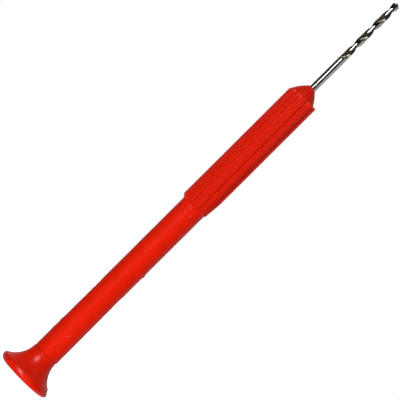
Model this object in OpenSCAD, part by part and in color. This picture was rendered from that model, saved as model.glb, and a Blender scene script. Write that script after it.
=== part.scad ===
// Hand drill with a fixed twist drill and a swivelling palm cap.
// The tool's axis is Z: it stands on the cap's end face at Z = 0 and the drill points up.

/* [Swivel cap] */
// Height of the cap, from its end face to the swivel seam
cap_h = 9.5; // [8.6:0.05:9.6]
// Diameter over the cap's rim
cap_rim_d = 17.8; // [17.2:0.05:18]
// Height of the rounded rim, from the end face to the flare
cap_rim_h = 2.6; // [2.5:0.05:2.8]
// Thickness of the end cover, whose edge meets the cap at the widest line of the rim
cover_t = 1.1; // [0.9:0.05:1.3]
// Width of the gap between the cap and the handle
seam_gap = 0.2; // [0.15:0.05:0.4]

/* [Handle] */
// Diameter of the tube at the swivel seam
tube_rear_d = 8.2; // [8:0.05:8.4]
// Diameter of the tube over its middle and up to the grip
tube_d = 8; // [7.8:0.05:8.2]
// Length of the slightly tapered rear stretch of the tube
taper_l = 30; // [10:1:40]
// Length of the tube, from the seam to the start of the ribs
tube_l = 59.6; // [50:0.1:70]
// Diameter over the ribs of the grip
grip_d = 9.75; // [9.5:0.05:10.2]
// Length of the ribs at their full height
grip_l = 43.4; // [35:0.1:50]
// Number of ribs
rib_count = 10; // [6:1:12]
// Width of one rib at its top
rib_w = 1.45; // [1:0.05:1.6]
// Length of the nose, from the end of the ribs to its tip
nose_l = 3.7; // [3.5:0.1:5]
// Diameter of the nose at its tip
nose_tip_d = 2.6; // [2.5:0.1:3.2]

/* [Drill] */
// Diameter of the twist drill
drill_d = 2.2; // [2.1:0.1:2.4]
// Overall length of the twist drill
drill_l = 53; // [50:0.5:60]
// Length of the drill that stands out of the nose
drill_out = 34.3; // [30:0.1:35]
// Length of the flutes, with the point
flute_l = 23.1; // [20:0.1:26]
// Length of one full turn of a flute
flute_lead = 14.3; // [10:0.1:18]
// Diameter at the bottom of the groove that keys the drill into the nose
groove_d = 1.7; // [1.4:0.1:1.7]
// Outside diameter of the splined sleeve that grips the drill
sleeve_d = 3.8; // [3.4:0.1:4.4]
// Length of the sleeve
sleeve_l = 9; // [6:0.5:9.5]

/* [Swivel pivot] */
// Diameter of the pivot pin
pin_d = 2.5; // [2:0.1:2.8]
// Length of the pin that is pressed into the handle
pin_grip_l = 14; // [8:0.5:20]
// Diameter of the pin's head
pin_head_d = 4.8; // [4:0.1:5]
// Radial running clearance of the cap on the pin
pin_clearance = 0.05; // [0.02:0.01:0.09]

/* [Hidden] */
$fn = 64;
red = [0.88, 0.11, 0.06];
steel = [0.62, 0.63, 0.64];
brass = [0.80, 0.64, 0.30];
black = [0.08, 0.07, 0.07];

// Height over which the ribs rise out of the tube
rib_ramp = 0.8;

// Length of the drill's tail that stands out behind the sleeve
drill_tail_l = 1.5;

// How far a cutting shape reaches past the surface that it cuts
overcut = 1;

// Heights of the main stations along the axis
handle_z = cap_h + seam_gap;
ribs_z = handle_z + tube_l;
nose_z = ribs_z + rib_ramp + grip_l;
nose_tip_z = nose_z + nose_l;
drill_tip_z = nose_tip_z + drill_out;
drill_tail_z = drill_tip_z - drill_l;
flutes_z = drill_tip_z - flute_l;
sleeve_z = drill_tail_z + drill_tail_l;

// Groove round the shank at the mouth of the nose: most of it is inside, filled by the plastic
groove_l = 0.8;
groove_out = 0.2;
groove_top_z = nose_tip_z + groove_out;
groove_z = groove_top_z - groove_l;

// Cap: radius of the rim and its rounded top edge, the flat foot and the flare
rim_r = cap_rim_d / 2;
rim_round_w = 0.9;
rim_round_h = 1.2;
foot_r = rim_r - 1.9;
flare_r = 8.1;
flare_steps = 14;
edge_chamfer = 0.15;

// Spigot of the end cover, its seat in the cap, and the hollow round the pin's head,
// which narrows upwards and laps into the seat
spigot_r = rim_r - 2.775;
spigot_h = 1.3;
spigot_wall = 1;
seat_top_z = cover_t + spigot_h + 0.2;
hollow_h = 5.4;
hollow_foot_r = spigot_r - 0.6;
hollow_top_r = 3.2;
hollow_lap = 0.1;

// Grip: the direction of the first rib, the rib's draft
// and how far the tube goes on past the ribs before the nose's cone starts
first_rib_angle = -83;
rib_draft = 0.15;
shoulder_l = 0.15;

// Drill: point angle, relief of the lands, how far the fluted stretch reaches into the shank,
// the direction of the first flute, and the size and place of the cut that makes a flute
point_angle = 118;
drill_r = drill_d / 2;
land_relief = 0.015;
shank_overlap = 0.4;
flute_phase = 21;
flute_cut_r = 0.68 * drill_r;
flute_centre_r = 0.86 * drill_r;
flute_slices = 45;

// Splines round the sleeve, each cut by a square bar set on its edge
spline_count = 16;
spline_bar = 0.28;

// Pivot: the pin's head, the air left at the blind end of its hole, the washers,
// how far the cap floats along the pin, and the thrust washer's seat in the handle
head_h = 1;
pin_end_gap = 0.5;
head_washer_t = 0.4;
head_washer_d = 5.8;
thrust_washer_d = 7;
washer_bore_d = pin_d + 0.2;
end_float = 0.1;
head_top_z = hollow_h - end_float - head_washer_t;
thrust_washer_t = 0.4;
thrust_washer_z = cap_h + end_float / 2;
washer_seat_d = thrust_washer_d + 0.1;
washer_seat_z = thrust_washer_z + thrust_washer_t;

// Radius of the concave flare at height z: an arc that runs tangent into the tube at the seam
function flare_at(z) = tube_rear_d / 2 + flare_r - sqrt(pow(flare_r, 2) - pow(cap_h - z, 2));

// Points of a quarter ellipse with half axes a and b, centred on c
function quarter(c, a, b, from, to, steps = 8) =
    [for (i = [0 : steps]) let (t = from + (to - from) * i / steps) c + [a * cos(t), b * sin(t)]];

module handle_profile() {
    polygon([
        [0, handle_z],
        [tube_rear_d / 2 - edge_chamfer, handle_z],
        [tube_rear_d / 2, handle_z + edge_chamfer],
        [tube_d / 2, handle_z + taper_l],
        [tube_d / 2, nose_z + shoulder_l],
        [nose_tip_d / 2, nose_tip_z],
        [0, nose_tip_z],
    ]);
}

module rib_envelope() {
    polygon([
        [0, ribs_z],
        [tube_d / 2, ribs_z],
        [grip_d / 2, ribs_z + rib_ramp],
        [grip_d / 2, nose_z],
        [0, nose_z],
    ]);
}

module rib_section() {
    polygon([
        [0, -rib_w / 2 - rib_draft],
        [tube_d / 2, -rib_w / 2 - rib_draft],
        [grip_d / 2 + overcut, -rib_w / 2],
        [grip_d / 2 + overcut, rib_w / 2],
        [tube_d / 2, rib_w / 2 + rib_draft],
        [0, rib_w / 2 + rib_draft],
    ]);
}

module handle() {
    color(red)
    difference() {
        union() {
            rotate_extrude() handle_profile();
            intersection() {
                rotate_extrude() rib_envelope();
                for (i = [0 : rib_count - 1])
                    rotate(first_rib_angle + i * 360 / rib_count)
                        translate([0, 0, ribs_z])
                            linear_extrude(nose_z - ribs_z) rib_section();
            }
        }
        translate([0, 0, handle_z - overcut])
            cylinder(h = washer_seat_z - handle_z + overcut, d = washer_seat_d);
        translate([0, 0, handle_z - overcut]) cylinder(h = pin_grip_l + overcut + pin_end_gap, d = pin_d);
        translate([0, 0, drill_tail_z]) cylinder(h = groove_z - drill_tail_z, d = drill_d);
        translate([0, 0, groove_z - overcut]) cylinder(h = groove_l + overcut, d = groove_d);
        translate([0, 0, sleeve_z]) cylinder(h = sleeve_l, d = sleeve_d);
    }
}

module flute_section() {
    difference() {
        circle(r = drill_r - land_relief, $fn = 28);
        for (side = [-1, 1])
            translate([side * flute_centre_r, 0]) circle(r = flute_cut_r, $fn = 20);
    }
}

module point_cutter() {
    outer_r = drill_r + overcut;
    rotate_extrude()
        polygon([
            [0, drill_tip_z],
            [outer_r, drill_tip_z - outer_r / tan(point_angle / 2)],
            [outer_r, drill_tip_z + overcut],
            [0, drill_tip_z + overcut],
        ]);
}

module twist_drill() {
    fluted_l = flute_l + shank_overlap;
    color(steel)
    union() {
        translate([0, 0, drill_tail_z]) cylinder(h = groove_z - drill_tail_z, d = drill_d);
        translate([0, 0, groove_z - overcut]) cylinder(h = groove_l + 2 * overcut, d = groove_d);
        translate([0, 0, groove_top_z]) cylinder(h = flutes_z - groove_top_z, d = drill_d);
        difference() {
            translate([0, 0, drill_tip_z - fluted_l])
                rotate(flute_phase)
                    linear_extrude(fluted_l, twist = -360 * fluted_l / flute_lead, slices = flute_slices)
                        flute_section();
            point_cutter();
        }
    }
}

module drill_sleeve() {
    color(brass)
    difference() {
        translate([0, 0, sleeve_z]) cylinder(h = sleeve_l, d = sleeve_d);
        translate([0, 0, sleeve_z - overcut]) cylinder(h = sleeve_l + 2 * overcut, d = drill_d);
        for (i = [0 : spline_count - 1])
            rotate(i * 360 / spline_count)
                translate([sleeve_d / 2, 0, sleeve_z + sleeve_l / 2])
                    rotate(45)
                        cube([spline_bar, spline_bar, sleeve_l + 2 * overcut], center = true);
    }
}

module swivel_cap() {
    flare_top_z = cap_h - edge_chamfer;
    flare_z = [for (i = [0 : flare_steps]) cap_rim_h + (flare_top_z - cap_rim_h) * i / flare_steps];
    color(red)
    difference() {
        rotate_extrude()
            polygon(concat(
                [[0, cover_t], [rim_r, cover_t]],
                quarter([rim_r - rim_round_w, cap_rim_h - rim_round_h], rim_round_w, rim_round_h, 0, 60, 6),
                [for (z = flare_z) [flare_at(z), z]],
                [[tube_rear_d / 2 - edge_chamfer, cap_h], [0, cap_h]]
            ));
        translate([0, 0, cover_t - overcut]) cylinder(h = seat_top_z - cover_t + overcut, r = spigot_r);
        translate([0, 0, seat_top_z - hollow_lap])
            cylinder(h = hollow_h - seat_top_z + hollow_lap, r1 = hollow_foot_r, r2 = hollow_top_r);
        cylinder(h = cap_h + overcut, r = pin_d / 2 + pin_clearance);
    }
}

module end_cover() {
    color(red)
    union() {
        rotate_extrude()
            polygon(concat(
                [[0, 0]],
                quarter([foot_r, cover_t], rim_r - foot_r, cover_t, -90, 0),
                [[0, cover_t]]
            ));
        difference() {
            cylinder(h = cover_t + spigot_h, r = spigot_r);
            translate([0, 0, cover_t]) cylinder(h = spigot_h + overcut, r = spigot_r - spigot_wall);
        }
    }
}

module pivot_pin() {
    color(steel)
    union() {
        translate([0, 0, head_top_z - head_h]) cylinder(h = head_h, d = pin_head_d);
        translate([0, 0, head_top_z - head_h / 2])
            cylinder(h = handle_z + pin_grip_l - head_top_z + head_h / 2, d = pin_d);
    }
}

module washer(z, t, d) {
    translate([0, 0, z])
        difference() {
            cylinder(h = t, d = d);
            translate([0, 0, -overcut]) cylinder(h = t + 2 * overcut, d = washer_bore_d);
        }
}

module head_washer() {
    color(steel) washer(head_top_z, head_washer_t, head_washer_d);
}

module thrust_washer() {
    color(black) washer(thrust_washer_z, thrust_washer_t, thrust_washer_d);
}

handle();
twist_drill();
drill_sleeve();
swivel_cap();
end_cover();
pivot_pin();
head_washer();
thrust_washer();
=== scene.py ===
"""Looks of the hand drill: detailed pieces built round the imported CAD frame, materials, light and camera.

Lengths below are in millimetres unless a comment says otherwise. Angles round the tool are in degrees,
counted from the -Y side, which faces the camera, towards +X.
"""
import math

import bmesh
import bpy
from mathutils import Matrix, Vector, noise


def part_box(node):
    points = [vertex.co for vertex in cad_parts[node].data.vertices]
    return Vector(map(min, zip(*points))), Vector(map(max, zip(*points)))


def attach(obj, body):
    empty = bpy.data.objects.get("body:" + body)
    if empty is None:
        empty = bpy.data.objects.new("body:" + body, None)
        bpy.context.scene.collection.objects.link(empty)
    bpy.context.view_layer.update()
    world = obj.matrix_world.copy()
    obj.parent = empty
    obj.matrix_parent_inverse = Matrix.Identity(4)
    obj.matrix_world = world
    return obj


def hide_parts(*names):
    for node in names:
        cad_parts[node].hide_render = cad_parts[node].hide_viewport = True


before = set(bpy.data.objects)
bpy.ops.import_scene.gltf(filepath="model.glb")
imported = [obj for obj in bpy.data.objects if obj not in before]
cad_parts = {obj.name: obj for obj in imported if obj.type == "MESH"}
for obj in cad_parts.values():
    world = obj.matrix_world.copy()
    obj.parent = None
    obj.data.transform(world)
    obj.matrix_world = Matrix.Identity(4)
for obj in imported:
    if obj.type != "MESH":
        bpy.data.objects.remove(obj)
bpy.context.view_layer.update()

MM = 0.001


# ---------------------------------------------------------------- stations taken from the CAD frame

def box_mm(node):
    """Lowest and highest corner of a CAD node, in millimetres."""
    lo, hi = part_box(node)
    return [c / MM for c in lo], [c / MM for c in hi]


handle_lo, handle_hi = box_mm("handle")
drill_lo, drill_hi = box_mm("twist_drill")
sleeve_lo, sleeve_hi = box_mm("drill_sleeve")
cap_lo, cap_hi = box_mm("swivel_cap")
pin_lo, pin_hi = box_mm("pivot_pin")
thrust_hi = box_mm("thrust_washer")[1]

# How far each side of the seam reaches past its CAD face: the seam seen is finer than the CAD's gap.
SEAM_LIP = 0.045
SEAM_Z = handle_lo[2] - SEAM_LIP
NOSE_TIP_Z = handle_hi[2]
CONE_L = 3.7
NOSE_Z = NOSE_TIP_Z - CONE_L
RIBS_Z = handle_lo[2] + 59.5

# Sizes that the nodes' boxes don't give: the CAD's, or close to it where the photo shows a finer shape.
TUBE_REAR_R = 4.1
TUBE_R = 4.0
TAPER_L = 30.0
GRIP_R = 4.865
ROOT_R = 4.2
DRILL_R = 1.1
FLUTES_Z = drill_hi[2] - 23.1
FLUTE_LEAD = 14.3
PIN_R = 1.25
GROOVE_R = 0.85
GROOVE_L = 0.6
GROOVE_Z = NOSE_TIP_Z - 1.6


# ---------------------------------------------------------------- mesh helpers

def lerp(a, b, t):
    """The value between a, where t is 0, and b, where t is 1."""
    return a + (b - a) * t


def ramp(x, start, stop):
    """0 before start, 1 after stop, straight in between."""
    return min(1.0, max(0.0, (x - start) / (stop - start)))


def ease(x, start, stop):
    """0 before start, 1 after stop, smooth in between."""
    t = ramp(x, start, stop)
    return t * t * (3 - 2 * t)


def span(start, stop, step):
    """Even steps from start to stop, about step apart."""
    count = max(1, round((stop - start) / step))
    return [lerp(start, stop, i / count) for i in range(count + 1)]


def spread(*runs):
    """The values of several runs in order, without near duplicates."""
    values = sorted(v for run in runs for v in run)
    kept = values[:1]
    for v in values[1:]:
        if v - kept[-1] > 1e-4:
            kept.append(v)
    return kept


def turned(angle):
    """The same angle between -180 and 180."""
    return (angle + 180) % 360 - 180


def across(angle, middle, radius):
    """Distance round a surface of this radius from the middle angle to another."""
    return math.radians(turned(angle - middle)) * radius


def even_angles(count):
    """A full turn of angles, the same step apart."""
    return [i * 360 / count for i in range(count)]


def round_rings(outline, angles):
    """A round ring at each of the outline's (radius, height) points, with its vertices at these angles."""
    return [[(r, z, a) for a in angles] for r, z in outline]


def skin(name, rings, joined=False, sharp=40):
    """A closed mesh through rings of (radius, height, angle).

    The first and last ring are joined to each other, or else each is closed by a fan round its centre.
    """
    sides = len(rings[0])
    verts = []
    for ring in rings:
        for r, z, a in ring:
            t = math.radians(a)
            verts.append((r * math.sin(t) * MM, -r * math.cos(t) * MM, z * MM))
    pairs = [(i, i + 1) for i in range(len(rings) - 1)]
    if joined:
        pairs.append((len(rings) - 1, 0))
    faces = []
    for low, high in pairs:
        for i in range(sides):
            j = (i + 1) % sides
            faces.append((low * sides + i, low * sides + j, high * sides + j, high * sides + i))
    if not joined:
        for first in (0, (len(rings) - 1) * sides):
            centre = sum((Vector(verts[first + i]) for i in range(sides)), Vector()) / sides
            verts.append(tuple(centre))
            faces += [(first + i, first + (i + 1) % sides, len(verts) - 1) for i in range(sides)]
    mesh = bpy.data.meshes.new(name)
    mesh.from_pydata(verts, [], faces)
    shell = bmesh.new()
    shell.from_mesh(mesh)
    bmesh.ops.recalc_face_normals(shell, faces=shell.faces)
    shell.to_mesh(mesh)
    shell.free()
    mesh.polygons.foreach_set("use_smooth", [True] * len(mesh.polygons))
    mesh.set_sharp_from_angle(angle=math.radians(sharp))
    piece = bpy.data.objects.new(name, mesh)
    bpy.context.scene.collection.objects.link(piece)
    return piece


def rounded(corners, loop=False, steps=5):
    """The outline through corners (radius, height, fillet), each rounded by its own fillet.

    A rounding takes less than half of each side, so that two of them never meet.
    """
    most = 0.48
    path = []
    last = len(corners) - 1
    for i, (r, z, fillet) in enumerate(corners):
        here = Vector((r, z))
        if fillet == 0 or (not loop and i in (0, last)):
            path.append((r, z))
            continue
        back = Vector(corners[i - 1][:2]) - here
        on = Vector(corners[(i + 1) % len(corners)][:2]) - here
        reach = min(fillet / math.tan(back.angle(on) / 2), most * back.length, most * on.length)
        start = here + back.normalized() * reach
        stop = here + on.normalized() * reach
        for k in range(steps + 1):
            t = k / steps
            path.append(tuple(start * (1 - t) ** 2 + here * 2 * t * (1 - t) + stop * t * t))
    return path


# ---------------------------------------------------------------- handle

REAR_FILLET = 0.05

# The ribs. Slow ones gain a share of their height over a long ramp at the rear, and flush ones end on the
# nose's cone instead of in a square shoulder.
RIB_COUNT = 10
RIB_PITCH = 360 / RIB_COUNT
RIB_PHASE = 6.0
RIB_HALF = 0.80
RIB_ROUND = 0.28
RIB_DRAFT = 0.26
RIB_FILLET = 0.42
RIB_RAMP = 1.0
SLOW_RIBS = (2, 3)
SLOW_RAMP = 6.2
SLOW_SHARE = 0.6
FLUSH_RIBS = (7, 8)
DEGREES_PER_MM = math.degrees(1 / GRIP_R)

# The nose's cone: its radius at the ribs, how much of it is lost by the tip, and how it does so.
CONE_R = 3.95
CONE_FALL = 2.85
CONE_CURVE = 1.3
CONE_SLOPE_BEFORE = 1.1
CONE_SHIFT = 0.26

PARTING_ANGLES = (-90.0, 90.0)
PARTING_H = 0.035

# The two ejector marks, and the hair of flash that runs on from the front one to the ribs.
MARK_R = 1.42
MARK_REACH = 2.0
RING_H = 0.11
RING_W = 0.11
DISC_DEPTH = 0.02
REAR_MARK_Z = 18.7
FRONT_MARK_Z = 67.0
FLASH_H = 0.08
FLASH_W = 0.12
FLASH_RISES = (68.3, 68.6)
FLASH_FALLS = (70.0, 70.3)

# Bumps on the tube and a dent in a rib: angle, place along Z, radius, and how far out or in they go.
GATE_Z = 45.0
DENT_Z = 85.7
TUBE_BUMPS = ((90, GATE_Z, 0.75, 0.17), (-90, 17.0, 0.45, 0.08), (-90, 19.9, 0.60, 0.10))
DENT = (-93, DENT_Z, 0.55, 0.14)

# The slight waviness of a thick moulding as it shrinks: depth, and waves in a millimetre.
WAVES = ((0.014, 0.28), (0.006, 0.9))


def body_radius(z):
    """Radius of the handle under its ribs."""
    r = lerp(TUBE_REAR_R, TUBE_R, ramp(z, SEAM_Z, SEAM_Z + TAPER_L))
    r += (ROOT_R - r) * ease(z, RIBS_Z + 0.3, RIBS_Z + 2.2) * (1 - ease(z, NOSE_Z - 1.0, NOSE_Z))
    if z < SEAM_Z + REAR_FILLET:
        short = SEAM_Z + REAR_FILLET - z
        r -= REAR_FILLET - math.sqrt(max(0.0, REAR_FILLET ** 2 - short ** 2))
    return r


def cone_radius(z, a):
    """Radius of the nose's cone, which bulges a little and stands off the tool's axis, towards -X."""
    along = (z - NOSE_Z) / CONE_L
    full = CONE_R - CONE_FALL * (along ** CONE_CURVE if along > 0 else CONE_SLOPE_BEFORE * along)
    aside = -CONE_SHIFT * math.sin(math.radians(a))
    return aside + math.sqrt(full ** 2 - CONE_SHIFT ** 2 + aside ** 2)


def cone_end(a, r):
    """Height at which the nose's cone comes down to this radius, or the tip where it doesn't."""
    off_axis = math.sqrt(r ** 2 + 2 * r * CONE_SHIFT * math.sin(math.radians(a)) + CONE_SHIFT ** 2)
    along = ((CONE_R - off_axis) / CONE_FALL) ** (1 / CONE_CURVE)
    return NOSE_Z + CONE_L * min(0.99, along)


def rib_top(z, rib, a):
    """Radius of the top of a rib, which comes up out of the tube at the rear."""
    rise = 0.5 * (ramp(z, RIBS_Z, RIBS_Z + RIB_RAMP) + ease(z, RIBS_Z, RIBS_Z + RIB_RAMP))
    if rib in SLOW_RIBS:
        rise = (1 - SLOW_SHARE) * ramp(z, RIBS_Z, RIBS_Z + 0.5)
        rise += SLOW_SHARE * ease(z, RIBS_Z + 0.4, RIBS_Z + SLOW_RAMP)
    rear = lerp(TUBE_R + 0.03, GRIP_R, rise)
    return min(rear, cone_radius(z, a)) if rib in FLUSH_RIBS else rear


def rib_height(beside, full):
    """Height of a rib at a distance beside its middle. full is its height at the middle."""
    foot = RIB_HALF + RIB_DRAFT
    if beside <= RIB_HALF - RIB_ROUND:
        h = full
    elif beside < RIB_HALF:
        h = full - RIB_ROUND + math.sqrt(max(0.0, RIB_ROUND ** 2 - (beside - RIB_HALF + RIB_ROUND) ** 2))
    elif beside < foot:
        h = lerp(full - RIB_ROUND, RIB_FILLET, (beside - RIB_HALF) / RIB_DRAFT)
    elif beside < foot + RIB_FILLET:
        h = RIB_FILLET - math.sqrt(max(0.0, RIB_FILLET ** 2 - (foot + RIB_FILLET - beside) ** 2))
    else:
        h = 0.0
    return max(0.0, min(h, full))


def ring_mark(beside, along):
    """An ejector pin's mark: a fine raised ring round a slightly sunken disc."""
    d = math.hypot(beside, along)
    ring = RING_H * math.exp(-((d - MARK_R) / RING_W) ** 2)
    return ring - DISC_DEPTH * (1 - ease(d, MARK_R - 0.2, MARK_R))


def bump_mark(beside, along, radius, height):
    """A small flat-topped bump."""
    return height * (1 - ease(math.hypot(beside, along), radius * 0.45, radius))


def marks(a, z):
    """What moulding and use left on the handle: parting lines, ejector marks, flash, bumps and a dent."""
    relief = 0.0
    if z > SEAM_Z + REAR_FILLET:
        for parting in PARTING_ANGLES:
            beside = abs(across(a, parting, TUBE_R))
            relief += PARTING_H * (1 - ease(beside, 0.02, 0.10)) * ease(NOSE_TIP_Z - z, 0.3, 1.5)
    front = across(a, 0, TUBE_R)
    if abs(front) < MARK_REACH:
        relief += ring_mark(front, z - REAR_MARK_Z)
        relief += ring_mark(front, z - FRONT_MARK_Z)
        beside_flash = front + 0.25 + 0.12 * (z - FRONT_MARK_Z - MARK_R)
        flash = FLASH_H * math.exp(-(beside_flash / FLASH_W) ** 2)
        relief += flash * ramp(z, *FLASH_RISES) * (1 - ramp(z, *FLASH_FALLS))
    for angle, height, radius, rise in TUBE_BUMPS:
        relief += bump_mark(across(a, angle, TUBE_R), z - height, radius, rise)
    angle, height, radius, depth = DENT
    relief -= bump_mark(across(a, angle, GRIP_R), z - height, radius, depth)
    return relief


def unevenness(r, z, a):
    """How far a place on the surface stands out because the moulding is wavy."""
    t = math.radians(a)
    place = Vector((r * math.sin(t), r * math.cos(t), z))
    return sum(depth * noise.noise(place * waves) for depth, waves in WAVES)


def handle_radius(z, a):
    """Radius of the handle's tube and grip, marks and all."""
    nearest = round((a - RIB_PHASE) / RIB_PITCH)
    beside = abs(a - RIB_PHASE - nearest * RIB_PITCH) / DEGREES_PER_MM
    base = body_radius(z)
    full = rib_top(z, nearest % RIB_COUNT, a) - base
    r = base + (rib_height(beside, full) if RIBS_Z < z <= NOSE_Z and full > 0 else 0.0)
    fade = ramp(z, SEAM_Z, SEAM_Z + 0.5) * ramp(NOSE_TIP_Z - z, 0, 0.5)
    return r + (marks(a, z) + unevenness(r, z, a)) * fade


def handle_angles():
    """Angles dense enough at the ribs' edges, the parting lines and the marks at the front."""
    flat = RIB_HALF - RIB_ROUND
    foot = RIB_HALF + RIB_DRAFT
    fillet_middle = 1.33
    beside = [0, 0.3, flat, fillet_middle]
    beside += [flat + RIB_ROUND * math.sin(math.radians(t)) for t in (18, 36, 54, 72, 90)]
    beside += [foot + RIB_FILLET * (1 - math.cos(math.radians(t))) for t in (0, 22, 45, 67, 90)]
    offsets = spread([b * DEGREES_PER_MM for b in beside], [RIB_PITCH / 2])
    ribs = [RIB_PHASE + RIB_PITCH * i for i in range(RIB_COUNT)]
    angles = [rib + side * offset for rib in ribs for offset in offsets for side in (-1, 1)]
    for parting in PARTING_ANGLES:
        angles += [parting + step for step in (-6, -3, -1.4, -0.7, 0, 0.7, 1.4, 3, 6)]
    mark_half = 24
    angles += span(-mark_half, mark_half, 1.1)
    return spread([a % 360 for a in angles])


def make_handle():
    """The moulding, from its bore for the pin over the outside to its bore for the drill and the sleeve."""
    angles = handle_angles()
    rows = spread(
        [SEAM_Z + REAR_FILLET * t for t in (0, 0.08, 0.25, 0.5, 0.75, 1)],
        span(SEAM_Z + 0.6, REAR_MARK_Z - 1.9, 1.2),
        span(REAR_MARK_Z - 1.7, REAR_MARK_Z + 1.8, 0.09),
        span(REAR_MARK_Z + 2.3, GATE_Z - 1.2, 1.6),
        span(GATE_Z - 1, GATE_Z + 1, 0.16),
        span(GATE_Z + 1.5, FRONT_MARK_Z - 2, 1.6),
        span(FRONT_MARK_Z - 1.7, FRONT_MARK_Z + 1.7, 0.09),
        span(FRONT_MARK_Z + 1.8, RIBS_Z, 0.16),
        span(RIBS_Z, RIBS_Z + 1.2, 0.1),
        span(RIBS_Z + 1.4, RIBS_Z + SLOW_RAMP + 0.5, 0.5),
        span(RIBS_Z + SLOW_RAMP + 1, DENT_Z - 1.1, 1.4),
        span(DENT_Z - 0.8, DENT_Z + 0.8, 0.2),
        span(DENT_Z + 1.3, NOSE_Z - 1.2, 1.4),
        span(NOSE_Z - 1.0, NOSE_Z, 0.1),
    )

    bore_r = PIN_R + 0.01
    seat_r = thrust_hi[0] + 0.05
    rear = round_rings([
        (bore_r, pin_hi[2] + 0.4),
        (bore_r, thrust_hi[2]),
        (seat_r, thrust_hi[2]),
        (seat_r, SEAM_Z),
    ], angles)
    outer = [[(handle_radius(z, a), z, a) for a in angles] for z in rows]
    shank_r = DRILL_R + 0.01
    mouth_r = DRILL_R + 0.05
    cone_rings = 18
    for f in span(0.0, 1.0, 1 / cone_rings):
        ring = []
        for a in angles:
            z = lerp(NOSE_Z + 0.05, cone_end(a, mouth_r), f)
            r = cone_radius(z, a)
            ring.append((r + unevenness(r, z, a) * (1 - f), z, a))
        outer.append(ring)
    sleeve_r = sleeve_hi[0] + 0.01
    groove_r = GROOVE_R + 0.01
    mouth = [[(shank_r, cone_end(a, mouth_r) - 0.03, a) for a in angles]]
    front = round_rings([
        (shank_r, GROOVE_Z + GROOVE_L),
        (groove_r, GROOVE_Z + GROOVE_L),
        (groove_r, GROOVE_Z),
        (shank_r, GROOVE_Z),
        (shank_r, sleeve_hi[2]),
        (sleeve_r, sleeve_hi[2]),
        (sleeve_r, sleeve_lo[2]),
        (shank_r, sleeve_lo[2]),
        (shank_r, drill_lo[2] - 0.01),
    ], angles)
    return skin("handle_moulding", rear + outer + mouth + front, sharp=50)


# ---------------------------------------------------------------- palm cap

FLARE_R = 7.95
NECK_R = 4.125
NECK_SHIFT = 0.15
RIM_R = cap_hi[0]
COVER_T = cap_lo[2]

# The rounding from the end face to the rim. It is lower and narrower on the +X side, where the rim is worn.
FOOT_R = 7.0
FOOT_H = 1.15
FOOT_H_UNWORN = 1.75
FOOT_WEAR = 0.25

# The rim's rounding towards the flare, and the slope that it is worn down to on the +X side.
RIM_ROUND = 0.9
RIM_ROUND_Z = 1.7
RIM_TOP_Z = 2.75
WORN_DEPTH = 0.29
WORN_Z = 1.07
WORN_SLOPE = 0.56

# The end cover's spigot in the cap.
SPIGOT_R = RIM_R - 2.775
SPIGOT_H = 1.3
SPIGOT_WALL = 1.0

# A small bump on the rim, and angles that are closer together there.
BUMP_ANGLE = 43.6
BUMP_Z = 1.0
BUMP_R = 0.36
BUMP_H = 0.22
CAP_ANGLES = spread(even_angles(240), span(BUMP_ANGLE - 2.6, BUMP_ANGLE + 2.6, 0.4))


def cap_radius(z, a):
    """Outside of the palm cap: its foot, its rim and the concave flare up to the seam."""
    side = math.sin(math.radians(a))
    wear = (1 + side) / 2
    foot_h = lerp(FOOT_H_UNWORN, FOOT_H, wear)
    foot_w = RIM_R - FOOT_R - FOOT_WEAR * wear
    foot = FOOT_R + foot_w * math.sqrt(1 - max(0.0, 1 - z / foot_h) ** 2)
    full = RIM_R - RIM_ROUND * (1 - math.sqrt(1 - ramp(z, RIM_ROUND_Z, RIM_TOP_Z) ** 2))
    worn = RIM_R - WORN_DEPTH - WORN_SLOPE * (z - WORN_Z)
    below_seam = max(0.0, cap_hi[2] - z)
    flare = NECK_R - NECK_SHIFT * side + FLARE_R - math.sqrt(max(0.0, FLARE_R ** 2 - below_seam ** 2))
    r = min(foot, lerp(full, worn, wear), flare)
    return min(RIM_R, r + bump_mark(across(a, BUMP_ANGLE, RIM_R), z - BUMP_Z, BUMP_R, BUMP_H))


def cap_ring(z, inset=0.0):
    """The cap's outside at one height, drawn in by inset."""
    return [(cap_radius(z, a) - inset, z, a) for a in CAP_ANGLES]


def make_cap():
    """The flared shell, with a bore for the pin and a hollow that the end cover's spigot closes."""
    top = cap_hi[2] + SEAM_LIP
    web_z = 5.4
    ledge_z = 2.5
    rings = round_rings([(RIM_R - 0.7, COVER_T)], CAP_ANGLES)
    rings += [cap_ring(COVER_T, 0.05), cap_ring(COVER_T + 0.06)]
    rings += [cap_ring(z) for z in spread(span(COVER_T + 0.12, 3.2, 0.1), span(3.3, top - 0.3, 0.22))]
    rings += [cap_ring(top - 0.05), cap_ring(top - 0.01, 0.01), cap_ring(top, 0.04)]
    bore_r = PIN_R + 0.05
    rings += round_rings(rounded([
        (3.7, top, 0),
        (bore_r, top, 0.12),
        (bore_r, web_z, 0.12),
        (3.2, web_z, 0.25),
        (SPIGOT_R - 0.6, ledge_z, 0.1),
        (SPIGOT_R, ledge_z, 0.08),
        (SPIGOT_R, COVER_T, 0),
    ]), CAP_ANGLES)
    return skin("palm_cap", rings, joined=True, sharp=35)


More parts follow.
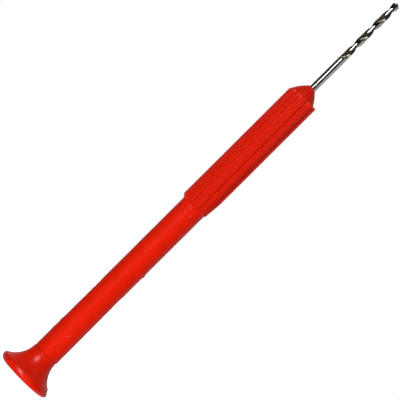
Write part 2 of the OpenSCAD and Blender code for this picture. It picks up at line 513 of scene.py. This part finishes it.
def make_cover():
    """The end disc, with a dimple in the middle of its face and a spigot that fits the cap's hollow."""
    dimple = [(0.35, 0.10), (0.55, 0.07), (0.65, 0.0)]
    rings = round_rings(dimple + [(3.0, 0.0), (FOOT_R - 0.4, 0.0), (FOOT_R, 0.004)], CAP_ANGLES)
    for t in (12, 22, 32, 42, 52, 62, 70, 77, 83):
        rings.append(cap_ring(FOOT_H * (1 - math.cos(math.radians(t)))))
    rings.append(cap_ring(COVER_T, 0.05))
    rings += round_rings([(SPIGOT_R, COVER_T)] + rounded([
        (SPIGOT_R - 0.01, COVER_T + 0.1, 0),
        (SPIGOT_R - 0.01, COVER_T + SPIGOT_H, 0.15),
        (SPIGOT_R - SPIGOT_WALL, COVER_T + SPIGOT_H, 0.15),
        (SPIGOT_R - SPIGOT_WALL, COVER_T, 0.2),
        (0.4, COVER_T, 0),
    ]), CAP_ANGLES)
    return skin("palm_cover", rings, sharp=35)


# ---------------------------------------------------------------- twist drill

# The fluted section, in shares of the drill's radius: the radius of a flute's cut, how far off the axis
# the cut's centre is, how much further off it starts at the shank, and how low the land lies.
FLUTE_CUT_R = 0.68
FLUTE_CENTRE = 0.86
FLUTE_LIFT = 0.86
LAND_RELIEF = 0.035

# Angle from a flute's middle to where the land ends, and the angle that the margin takes up there.
LAND_END = 138.0
MARGIN = 13.0

# Angle of a flute's middle at one height, and the length over which a flute runs out at the shank.
FLUTE_PHASE = 291.0
FLUTE_PHASE_Z = FLUTES_Z - 0.4
FLUTE_RUNOUT = 1.8

POINT_ANGLE = 118
POINT_RELIEF = 0.22


def twist(z):
    """Angle of a flute's middle at this height."""
    return FLUTE_PHASE + 360 * (z - FLUTE_PHASE_Z) / FLUTE_LEAD


def section_radius(turn, depth):
    """Radius of the drill at an angle from a flute's middle. depth goes from 0, plain, to 1, fully cut."""
    beside = abs(turned(2 * turn) / 2)
    centre = FLUTE_CENTRE + FLUTE_LIFT * (1 - depth)
    sine = centre * math.sin(math.radians(beside))
    r = 1.0
    if turn % 180 < LAND_END - MARGIN:
        r -= LAND_RELIEF * depth
    if sine < FLUTE_CUT_R:
        r = min(r, centre * math.cos(math.radians(beside)) - math.sqrt(FLUTE_CUT_R ** 2 - sine ** 2))
    return r * DRILL_R


def point_radius(turn, below_tip):
    """Radius of the ground point, which falls away behind each cutting lip."""
    behind = ((LAND_END - turn) % 180) / 180
    return below_tip * math.tan(math.radians(POINT_ANGLE / 2)) * (1 - POINT_RELIEF * behind)


def drill_turns():
    """Angles from a flute's middle, closest at the flutes' edges and at the step up to the margin."""
    flute = [0, 10, 20, 28, 34, 38, 41, 42.2, 43.4, 47]
    land = [55, 66, 78, 90, 102, 112, 120, 124.6]
    margin = [125.6, 131, 135, 137.2]
    next_flute = [138.2, 140, 144, 150, 158, 168]
    half = flute + land + margin + next_flute
    return half + [t + 180 for t in half]


def make_drill():
    """The whole drill: chamfered end, groove that keys it into the nose, plain shank, flutes and point."""
    turns = drill_turns()
    tip_z = drill_hi[2]
    groove_top = GROOVE_Z + GROOVE_L
    shank = [
        (DRILL_R - 0.1, drill_lo[2]),
        (DRILL_R, drill_lo[2] + 0.1),
        (DRILL_R, GROOVE_Z - 0.02),
        (GROOVE_R, GROOVE_Z),
        (GROOVE_R, groove_top),
        (DRILL_R, groove_top + 0.02),
    ]
    shank += [(DRILL_R, z) for z in span(groove_top + 0.5, FLUTES_Z - 0.1, 1.2)]
    rings = round_rings(shank, [turn + twist(FLUTES_Z) for turn in turns])
    point_h = DRILL_R / math.tan(math.radians(POINT_ANGLE / 2))
    fluted = span(FLUTES_Z, tip_z - point_h * 1.5, 0.16)
    point = span(tip_z - point_h * 1.4, tip_z - 0.02, 0.05)
    for z in spread(fluted, point):
        depth = ease(z, FLUTES_Z - 0.3, FLUTES_Z + FLUTE_RUNOUT)
        fade = ramp(z, FLUTES_Z, FLUTES_Z + 0.4)
        ring = []
        for turn in turns:
            r = lerp(DRILL_R, section_radius(turn, depth), fade)
            ring.append((min(r, point_radius(turn, tip_z - z)), z, turn + twist(z)))
        rings.append(ring)
    return skin("ground_drill", rings, sharp=30)


# ---------------------------------------------------------------- pieces inside the tool

def make_sleeve():
    """Knurled sleeve: two sets of crossed grooves in its outside, and a bevelled collar at each end."""
    outer_r = sleeve_hi[0]
    grooves = 16
    lead = 6.0
    slant = 360 / lead
    angles = even_angles(grooves * 8)
    knurl_depth = 0.16
    knurl_slope = 2.2

    def knurled(z, a):
        left = abs(turned((a + slant * z) * grooves)) / 180
        right = abs(turned((a - slant * z) * grooves)) / 180
        return outer_r - knurl_depth * max(0.0, 1 - knurl_slope * min(left, right))

    lo, hi = sleeve_lo[2], sleeve_hi[2]
    bore = DRILL_R + 0.01
    collar_r = outer_r - 0.2
    bevel_r = outer_r - 0.3
    rear = [(bore, lo + 0.2), (bore + 0.2, lo), (bevel_r, lo), (collar_r, lo + 0.2), (collar_r, lo + 0.5)]
    knurl = [[(knurled(z, a), z, a) for a in angles] for z in span(lo + 0.55, hi - 0.55, 0.16)]
    front = [(collar_r, hi - 0.5), (collar_r, hi - 0.2), (bevel_r, hi), (bore + 0.2, hi), (bore, hi - 0.2)]
    rings = round_rings(rear, angles) + knurl + round_rings(front, angles)
    return skin("knurled_sleeve", rings, joined=True)


def make_pin():
    """Headed pin: domed head, plain running length and a splined end that grips the handle."""
    head_r = pin_hi[0]
    head_top = pin_lo[2] + 1.0
    spline_depth = 0.05
    angles = even_angles(96)
    rings = round_rings(rounded([
        (0.2, pin_lo[2], 0),
        (head_r - 0.4, pin_lo[2] + 0.02, 0.3),
        (head_r, pin_lo[2] + 0.45, 0.25),
        (head_r, head_top, 0.1),
        (PIN_R, head_top, 0.06),
        (PIN_R, SEAM_Z + 1.0, 0),
    ]), angles)
    for z in span(SEAM_Z + 1.2, pin_hi[2] - 0.8, 1.0):
        rings.append([(PIN_R - spline_depth * (i % 4 > 1), z, a) for i, a in enumerate(angles)])
    rings += round_rings([(PIN_R - spline_depth, pin_hi[2] - 0.6), (PIN_R - 0.3, pin_hi[2])], angles)
    return skin("headed_pin", rings, sharp=35)


def make_washer(name, node):
    """A flat washer as wide and thick as its CAD node, with its edges broken."""
    lo, hi = box_mm(node)
    outer_r = hi[0]
    bore_r = PIN_R + 0.1
    edge = 0.1
    outline = rounded([
        (bore_r, lo[2], edge),
        (outer_r, lo[2], edge),
        (outer_r, hi[2], edge),
        (bore_r, hi[2], edge),
    ], loop=True, steps=4)
    return skin(name, round_rings(outline, even_angles(96)), joined=True)


# ---------------------------------------------------------------- materials

class Shader:
    """A short way to write one procedural material."""

    def __init__(self, name, **constants):
        self.material = bpy.data.materials.new(name)
        self.material.use_nodes = True
        self.nodes = self.material.node_tree.nodes
        self.links = self.material.node_tree.links
        self.surface = self.nodes["Principled BSDF"]
        for socket, value in constants.items():
            self.surface.inputs[socket.replace("_", " ")].default_value = value
        self.place = self.nodes.new("ShaderNodeTexCoord").outputs["Object"]

    def noise(self, scale, detail=3.0, roughness=0.55, stretch=(1, 1, 1)):
        """A noise pattern with this many cells a metre, stretched along the axes."""
        mapping = self.nodes.new("ShaderNodeMapping")
        mapping.inputs["Scale"].default_value = stretch
        self.links.new(self.place, mapping.inputs["Vector"])
        texture = self.nodes.new("ShaderNodeTexNoise")
        texture.inputs["Scale"].default_value = scale
        texture.inputs["Detail"].default_value = detail
        texture.inputs["Roughness"].default_value = roughness
        self.links.new(mapping.outputs["Vector"], texture.inputs["Vector"])
        return texture.outputs["Fac"]

    def spread_over(self, source, low, high, start=0.3, stop=0.7):
        """The source mapped from start..stop onto low..high. high may be another output."""
        node = self.nodes.new("ShaderNodeMapRange")
        node.inputs["From Min"].default_value = start
        node.inputs["From Max"].default_value = stop
        node.inputs["To Min"].default_value = low
        if isinstance(high, (int, float)):
            node.inputs["To Max"].default_value = high
        else:
            self.links.new(high, node.inputs["To Max"])
        self.links.new(source, node.inputs["Value"])
        return node.outputs["Result"]

    def blend(self, factor, first, second):
        """A colour between two colours."""
        node = self.nodes.new("ShaderNodeMix")
        node.data_type = "RGBA"
        self.links.new(factor, node.inputs["Factor"])
        for socket, value in (("A", first), ("B", second)):
            target = next(i for i in node.inputs if i.name == socket and i.type == "RGBA")
            if isinstance(value, tuple):
                target.default_value = (*value, 1)
            else:
                self.links.new(value, target)
        return next(o for o in node.outputs if o.type == "RGBA")

    def off_axis(self):
        """Distance from the tool's axis, in metres."""
        node = self.nodes.new("ShaderNodeVectorMath")
        node.operation = "MULTIPLY"
        node.inputs[1].default_value = (1, 1, 0)
        self.links.new(self.place, node.inputs[0])
        length = self.nodes.new("ShaderNodeVectorMath")
        length.operation = "LENGTH"
        self.links.new(node.outputs["Vector"], length.inputs[0])
        return length.outputs["Value"]

    def height(self):
        """Height above the cap's end face, in metres."""
        node = self.nodes.new("ShaderNodeSeparateXYZ")
        self.links.new(self.place, node.inputs["Vector"])
        return node.outputs["Z"]

    def bump(self, height, distance, strength=1.0, after=None):
        """Surface relief, in metres."""
        node = self.nodes.new("ShaderNodeBump")
        node.inputs["Strength"].default_value = strength
        node.inputs["Distance"].default_value = distance
        self.links.new(height, node.inputs["Height"])
        if after:
            self.links.new(after, node.inputs["Normal"])
        return node.outputs["Normal"]

    def drive(self, socket, source):
        self.links.new(source, self.surface.inputs[socket])


def red_plastic():
    """Glossy moulding: clouded red, with painted shade that darkens the grip, uneven gloss and a faint
    orange-peel.
    """
    s = Shader("red_plastic", IOR=1.46, Specular_IOR_Level=0.22)
    cloud = s.spread_over(s.noise(420, 4.0), 0, 1)
    plain_red = s.blend(cloud, (0.76, 0.0115, 0.0016), (0.83, 0.0155, 0.0026))
    # The grip's darker red is painted shade, standing in for the shade that falls among the ribs.
    grip_painted_shade = s.blend(cloud, (0.67, 0.0115, 0.0020), (0.74, 0.0155, 0.0030))
    grip_shade_mask = s.spread_over(s.height(), 0, 1, start=(RIBS_Z - 0.5) * MM, stop=(RIBS_Z + 1.0) * MM)
    s.drive("Base Color", s.blend(grip_shade_mask, plain_red, grip_painted_shade))
    s.drive("Roughness", s.spread_over(s.noise(650, 3.0), 0.25, 0.34))
    peel = s.bump(s.noise(1100, 2.0), 0.00004, 0.5)
    s.drive("Normal", s.bump(s.noise(6000, 2.0), 0.000003, 0.6, after=peel))
    return s.material


def drill_steel():
    """Polished tool steel with fine marks of grinding round the axis, and duller flutes, darkened by painted
    shade.
    """
    s = Shader("drill_steel", Metallic=1.0, Anisotropic=0.8, Anisotropic_Rotation=0.25)
    ground = s.nodes.new("ShaderNodeTangent")
    ground.direction_type = "RADIAL"
    ground.axis = "Z"
    s.drive("Tangent", ground.outputs["Tangent"])
    stain = s.spread_over(s.noise(900, 3.0), 0, 1)
    polished = s.blend(stain, (0.46, 0.445, 0.42), (0.56, 0.545, 0.515))
    on_land = s.spread_over(s.off_axis(), 0, 1, start=0.86 * DRILL_R * MM, stop=0.955 * DRILL_R * MM)
    # Darker in the flutes: painted shade, standing in for the dark that the hollow flutes reflect.
    s.drive("Base Color", s.blend(on_land, (0.15, 0.135, 0.105), polished))
    land_roughness = s.spread_over(s.noise(2500, 3.0), 0.20, 0.26)
    s.drive("Roughness", s.spread_over(on_land, 0.35, land_roughness, start=0, stop=1))
    s.drive("Normal", s.bump(s.noise(9000, 2.0, stretch=(0.12, 0.12, 1)), 0.0000015, 0.6))
    return s.material


def metal(name, dark, light, rough_low, rough_high):
    """Turned metal with tool marks round the axis."""
    s = Shader(name, Metallic=1.0)
    s.drive("Base Color", s.blend(s.spread_over(s.noise(700, 3.0), 0, 1), dark, light))
    s.drive("Roughness", s.spread_over(s.noise(1500, 3.0), rough_low, rough_high))
    s.drive("Normal", s.bump(s.noise(7000, 2.0, stretch=(0.1, 0.1, 1)), 0.00001, 0.5))
    return s.material


def washer_plastic():
    """Dull, nearly black plastic with a fine grain."""
    s = Shader("washer_plastic")
    cloud = s.spread_over(s.noise(800, 3.0), 0, 1)
    s.drive("Base Color", s.blend(cloud, (0.012, 0.009, 0.008), (0.03, 0.022, 0.02)))
    s.drive("Roughness", s.spread_over(s.noise(1600, 2.0), 0.45, 0.65))
    s.drive("Normal", s.bump(s.noise(5000, 2.0), 0.00001, 0.4))
    return s.material


FLOOR_GLOW = 0.9


def floor_card():
    """Pale matt card that glows, as on a light table."""
    s = Shader("floor_card", Roughness=0.9, Emission_Strength=FLOOR_GLOW)
    grain = s.spread_over(s.noise(220, 4.0), 0, 1)
    s.drive("Base Color", s.blend(grain, (0.80, 0.80, 0.80), (0.84, 0.84, 0.84)))
    s.surface.inputs["Emission Color"].default_value = (1, 1, 1, 1)
    return s.material


# ---------------------------------------------------------------- the pieces on their bodies

plastic = red_plastic()
bright_steel = drill_steel()
plated = metal("plated_steel", (0.52, 0.53, 0.55), (0.66, 0.67, 0.69), 0.22, 0.36)
brass = metal("sleeve_brass", (0.66, 0.46, 0.17), (0.80, 0.60, 0.27), 0.25, 0.40)
dark_plastic = washer_plastic()

PIECES = (
    # piece, CAD node it stands for, body it rides on, material, material slot
    (make_handle(), "handle", "handle", plastic, "red_plastic"),
    (make_drill(), "twist_drill", "handle", bright_steel, "drill_steel"),
    (make_sleeve(), "drill_sleeve", "handle", brass, "sleeve_brass"),
    (make_pin(), "pivot_pin", "handle", plated, "plated_steel"),
    (make_washer("pin_washer", "head_washer"), "head_washer", "handle", plated, "plated_steel"),
    (make_washer("seam_washer", "thrust_washer"), "thrust_washer", "handle", dark_plastic, "washer_plastic"),
    (make_cap(), "swivel_cap", "cap", plastic, "red_plastic"),
    (make_cover(), "end_cover", "cap", plastic, "red_plastic"),
)
for piece, node, body, material, slot in PIECES:
    piece.data.materials.append(material)
    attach(piece, body)
    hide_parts(node)


# ---------------------------------------------------------------- floor, light and camera

# Lengths here are in metres. The room's three values say how bright it is.
FLOOR_R = 3.0
FLOOR_Z = -0.00002
CAMERA_DISTANCE = 0.9
CAMERA_LEAN = math.radians(44.865)
VIEW_WIDTH = 0.1143
VIEW_CENTRE_Z = 0.0719
VIEW_CENTRE_X = -0.00018
ROOM_FRONT = 0.03
ROOM_BACK = 0.62
ROOM_CEILING = 0.12


def make_floor():
    """A pale round floor just under the tool. It neither shades nor lights the tool."""
    place = (0, 0, FLOOR_Z)
    bpy.ops.mesh.primitive_circle_add(vertices=96, radius=FLOOR_R, fill_type="NGON", location=place)
    floor = bpy.context.object
    floor.name = "floor"
    floor.data.materials.append(floor_card())
    floor.visible_glossy = False
    floor.visible_diffuse = False
    floor.visible_shadow = False


def area_light(name, azimuth, elevation, distance, size, power, target, size_y=None, beam=180):
    """A soft light aimed at target, with power in watts. azimuth is counted from the -Y side towards +X.

    size is its width and, without size_y, its height. beam is the angle it shines into, in degrees.
    """
    a, e = math.radians(azimuth), math.radians(elevation)
    away = Vector((math.sin(a) * math.cos(e), -math.cos(a) * math.cos(e), math.sin(e)))
    data = bpy.data.lights.new(name, "AREA")
    data.shape = "RECTANGLE"
    data.size = size
    data.size_y = size_y or size
    data.energy = power
    data.spread = math.radians(beam)
    light = bpy.data.objects.new(name, data)
    light.location = Vector(target) + away * distance
    light.rotation_mode = "QUATERNION"
    light.rotation_quaternion = away.to_track_quat("Z", "Y")
    light.visible_camera = False
    bpy.context.scene.collection.objects.link(light)
    return light


def make_world():
    """White to the camera. The tool is lit by a ring of room, dark behind the camera and pale opposite."""
    world = bpy.data.worlds.new("studio")
    world.use_nodes = True
    bpy.context.scene.world = world
    nodes, links = world.node_tree.nodes, world.node_tree.links
    out = nodes["World Output"]
    seen = nodes["Background"]
    seen.inputs["Color"].default_value = (1, 1, 1, 1)
    place = nodes.new("ShaderNodeTexCoord").outputs["Generated"]

    def along(x, y, z):
        """How far a direction points along this axis, from -1 to 1."""
        node = nodes.new("ShaderNodeVectorMath")
        node.operation = "DOT_PRODUCT"
        node.inputs[1].default_value = (x, y, z)
        links.new(place, node.inputs[0])
        return node.outputs["Value"]

    def graded(source, start, stop, low, high):
        """From low to high while the source goes from start to stop. low may be another output."""
        node = nodes.new("ShaderNodeMapRange")
        node.interpolation_type = "SMOOTHSTEP"
        links.new(source, node.inputs["Value"])
        node.inputs["From Min"].default_value = start
        node.inputs["From Max"].default_value = stop
        node.inputs["To Max"].default_value = high
        if isinstance(low, float):
            node.inputs["To Min"].default_value = low
        else:
            links.new(low, node.inputs["To Min"])
        return node.outputs["Result"]

    ring = graded(along(0.3, 0.954, 0), -0.1, 0.95, ROOM_FRONT, ROOM_BACK)
    above = graded(along(0, 0, 1), 0.5, 0.9, ring, ROOM_CEILING)
    level = graded(along(0, 0, -1), 0.5, 0.9, above, ROOM_CEILING)
    room = nodes.new("ShaderNodeBackground")
    links.new(level, room.inputs["Strength"])
    path = nodes.new("ShaderNodeLightPath")
    mix = nodes.new("ShaderNodeMixShader")
    links.new(path.outputs["Is Camera Ray"], mix.inputs["Fac"])
    links.new(room.outputs["Background"], mix.inputs[1])
    links.new(seen.outputs["Background"], mix.inputs[2])
    links.new(mix.outputs["Shader"], out.inputs["Surface"])


def make_camera():
    """The photograph's view: square on to the tool, which runs from the lower left to the upper right."""
    right = Vector((math.sin(CAMERA_LEAN), 0, math.cos(CAMERA_LEAN)))
    up = Vector((-math.cos(CAMERA_LEAN), 0, math.sin(CAMERA_LEAN)))
    back = right.cross(up)
    data = bpy.data.cameras.new("camera")
    camera = bpy.data.objects.new("camera", data)
    place = Vector((VIEW_CENTRE_X, -CAMERA_DISTANCE, VIEW_CENTRE_Z))
    camera.matrix_world = Matrix.Translation(place) @ Matrix((right, up, back)).transposed().to_4x4()
    data.sensor_width = 36
    data.lens = data.sensor_width * CAMERA_DISTANCE / VIEW_WIDTH
    data.clip_start = 0.05
    data.clip_end = 20
    bpy.context.scene.collection.objects.link(camera)
    bpy.context.scene.camera = camera


make_floor()
make_world()
make_camera()

middle = (0, 0, 0.075)
area_light("key", -21, 24, 1.0, 0.28, 7.4, middle)
area_light("fill", 22, -55, 0.6, 0.36, 2.6, middle).visible_glossy = False
area_light("back", 180, 15, 0.9, 0.4, 4.6, middle).visible_glossy = False
# Two small panels close to the drill, which show only as reflections.
drill_middle = (0, 0, 0.137)
area_light("streak", -31, 4, 0.12, 0.04, 0.0013, drill_middle, beam=32).visible_diffuse = False
area_light("panel", 70, 0, 0.12, 0.11, 0.0033, drill_middle, size_y=0.05, beam=80).visible_diffuse = False

scene = bpy.context.scene
scene.view_settings.view_transform = "Standard"
scene.view_settings.look = "None"
